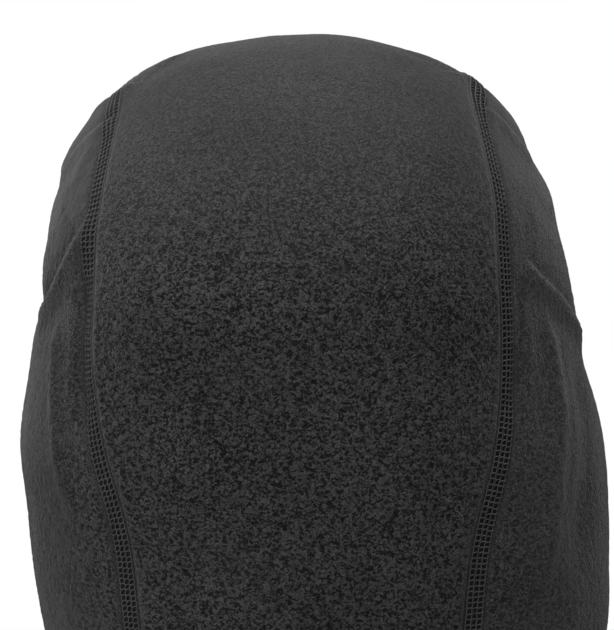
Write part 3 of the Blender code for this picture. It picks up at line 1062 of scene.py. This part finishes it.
def label_satin():
    """Off-white satin tape, a little soiled."""
    made = Finish("label_satin", 0.50, sheen=0.10)
    along, across = made.strip()
    floats = made.math("SINE", made.math("MULTIPLY", across, 22000))
    slubs = made.noise(900, 2.0, 0.0, (1, 1, 0.08))
    shade = made.math("MULTIPLY", made.between(slubs, 0.3, 0.7, 0.93, 1.04),
                      made.between(made.noise(90, 3.0), 0.3, 0.7, 0.90, 1.05))
    made.colour((0.62, 0.62, 0.60), shade)
    made.roughness(made.between(slubs, 0.3, 0.7, 0.32, 0.50))
    made.bump(made.math("MULTIPLY_ADD", floats, 0.5, slubs), 0.00006)
    return made.material


def pale_floor():
    made = Finish("floor", 0.3)
    made.colour((0.83, 0.83, 0.83), made.between(made.noise(40), 0.3, 0.7, 0.99, 1.01))
    made.roughness(made.between(made.noise(60), 0.3, 0.7, 0.75, 0.85))
    return made.material


# The studio.

CAMERA_DISTANCE = 1.5
CAMERA_TURN = math.radians(2.2)  # off straight behind, towards -X
CAMERA_RISE = math.radians(4)
CAMERA_TARGET = Vector((-0.001, 0, 0.2555))
VIEW_WIDTH = 0.2016  # what the camera takes in at its target
SENSOR = 36


def camera():
    data = bpy.data.cameras.new("camera")
    data.sensor_width = SENSOR
    data.lens = SENSOR * CAMERA_DISTANCE / VIEW_WIDTH
    made = bpy.data.objects.new("camera", data)
    way = Vector((
        -math.sin(CAMERA_TURN) * math.cos(CAMERA_RISE),
        math.cos(CAMERA_TURN) * math.cos(CAMERA_RISE),
        math.sin(CAMERA_RISE),
    ))
    made.location = CAMERA_TARGET + way * CAMERA_DISTANCE
    made.rotation_euler = (-way).to_track_quat("-Z", "Y").to_euler()
    bpy.context.scene.collection.objects.link(made)
    bpy.context.scene.camera = made


def soft_light(name, place, size, power):
    """An area light aimed at the middle of the balaclava."""
    data = bpy.data.lights.new(name, "AREA")
    data.shape = "RECTANGLE"
    data.size, data.size_y = size
    data.energy = power
    made = bpy.data.objects.new(name, data)
    made.location = place
    aim = Vector((0, 0, HEIGHT * 0.7)) - Vector(place)
    made.rotation_euler = aim.to_track_quat("-Z", "Y").to_euler()
    bpy.context.scene.collection.objects.link(made)


def surroundings():
    """A dim, even light from all round, and white behind the balaclava."""
    world = bpy.data.worlds.new("studio")
    bpy.context.scene.world = world
    world.use_nodes = True
    nodes, links = world.node_tree.nodes, world.node_tree.links
    dim = nodes["Background"]
    white = nodes.new("ShaderNodeBackground")
    for background, strength in ((dim, 0.12), (white, 1.0)):
        background.inputs["Color"].default_value = (1, 1, 1, 1)
        background.inputs["Strength"].default_value = strength
    seen = nodes.new("ShaderNodeLightPath")
    either = nodes.new("ShaderNodeMixShader")
    links.new(seen.outputs["Is Camera Ray"], either.inputs["Fac"])
    links.new(dim.outputs["Background"], either.inputs[1])
    links.new(white.outputs["Background"], either.inputs[2])
    links.new(either.outputs["Shader"], nodes["World Output"].inputs["Surface"])
    bpy.context.scene.view_settings.view_transform = "Standard"


def floor():
    turn = np.linspace(0, 2 * math.pi, 96, endpoint=False)
    radius = 0.7
    mesh = bpy.data.meshes.new("floor")
    rim = [(radius * math.cos(t), radius * math.sin(t), -0.0003) for t in turn]
    mesh.from_pydata(rim, [], [list(range(len(rim)))])
    mesh.materials.append(pale_floor())
    made = bpy.data.objects.new("floor", mesh)
    bpy.context.scene.collection.objects.link(made)


# Everything together.


def panels(finish):
    """The four fleece panels, each between two seams, with its size and its flat area."""
    for name, seams, size, grid, area in (
        ("centre_panel", ("right_back_seam", "left_back_seam"), (0.145, 0.546), CENTRE_GRID, 0.0606),
        ("left_side_panel", ("left_back_seam", "left_chin_seam"), (0.189, 0.344), SIDE_GRID, 0.0546),
        ("chin_panel", ("left_chin_seam", "right_chin_seam"), (0.115, 0.173), SIDE_GRID, 0.0155),
        ("right_side_panel", ("right_chin_seam", "right_back_seam"), (0.189, 0.344), SIDE_GRID, 0.0546),
    ):
        piece = panel(f"{name}_cloth", seams, size, grid, finish)
        stands_for(name)


def main():
    finishes = {
        "fleece": fleece(),
        "binding": stretch_binding(),
        "thread": thread(),
        "elastic": elastic(),
        "label": label_satin(),
    }
    panels(finishes["fleece"])
    for seed, name in enumerate(SEAMS):
        seam_threads(name, finishes["thread"], 40 + seed)
    edges(finishes)
    label(finishes)
    camera()
    surroundings()
    soft_light("top_light", (0.05, 0.28, 1.5), (0.9, 0.9), 20)
    soft_light("side_light", (1.25, 1.0, 0.8), (0.8, 0.9), 5.5)
    soft_light("front_light", (0.35, -1.5, 0.55), (0.8, 0.8), 9)
    floor()


main()
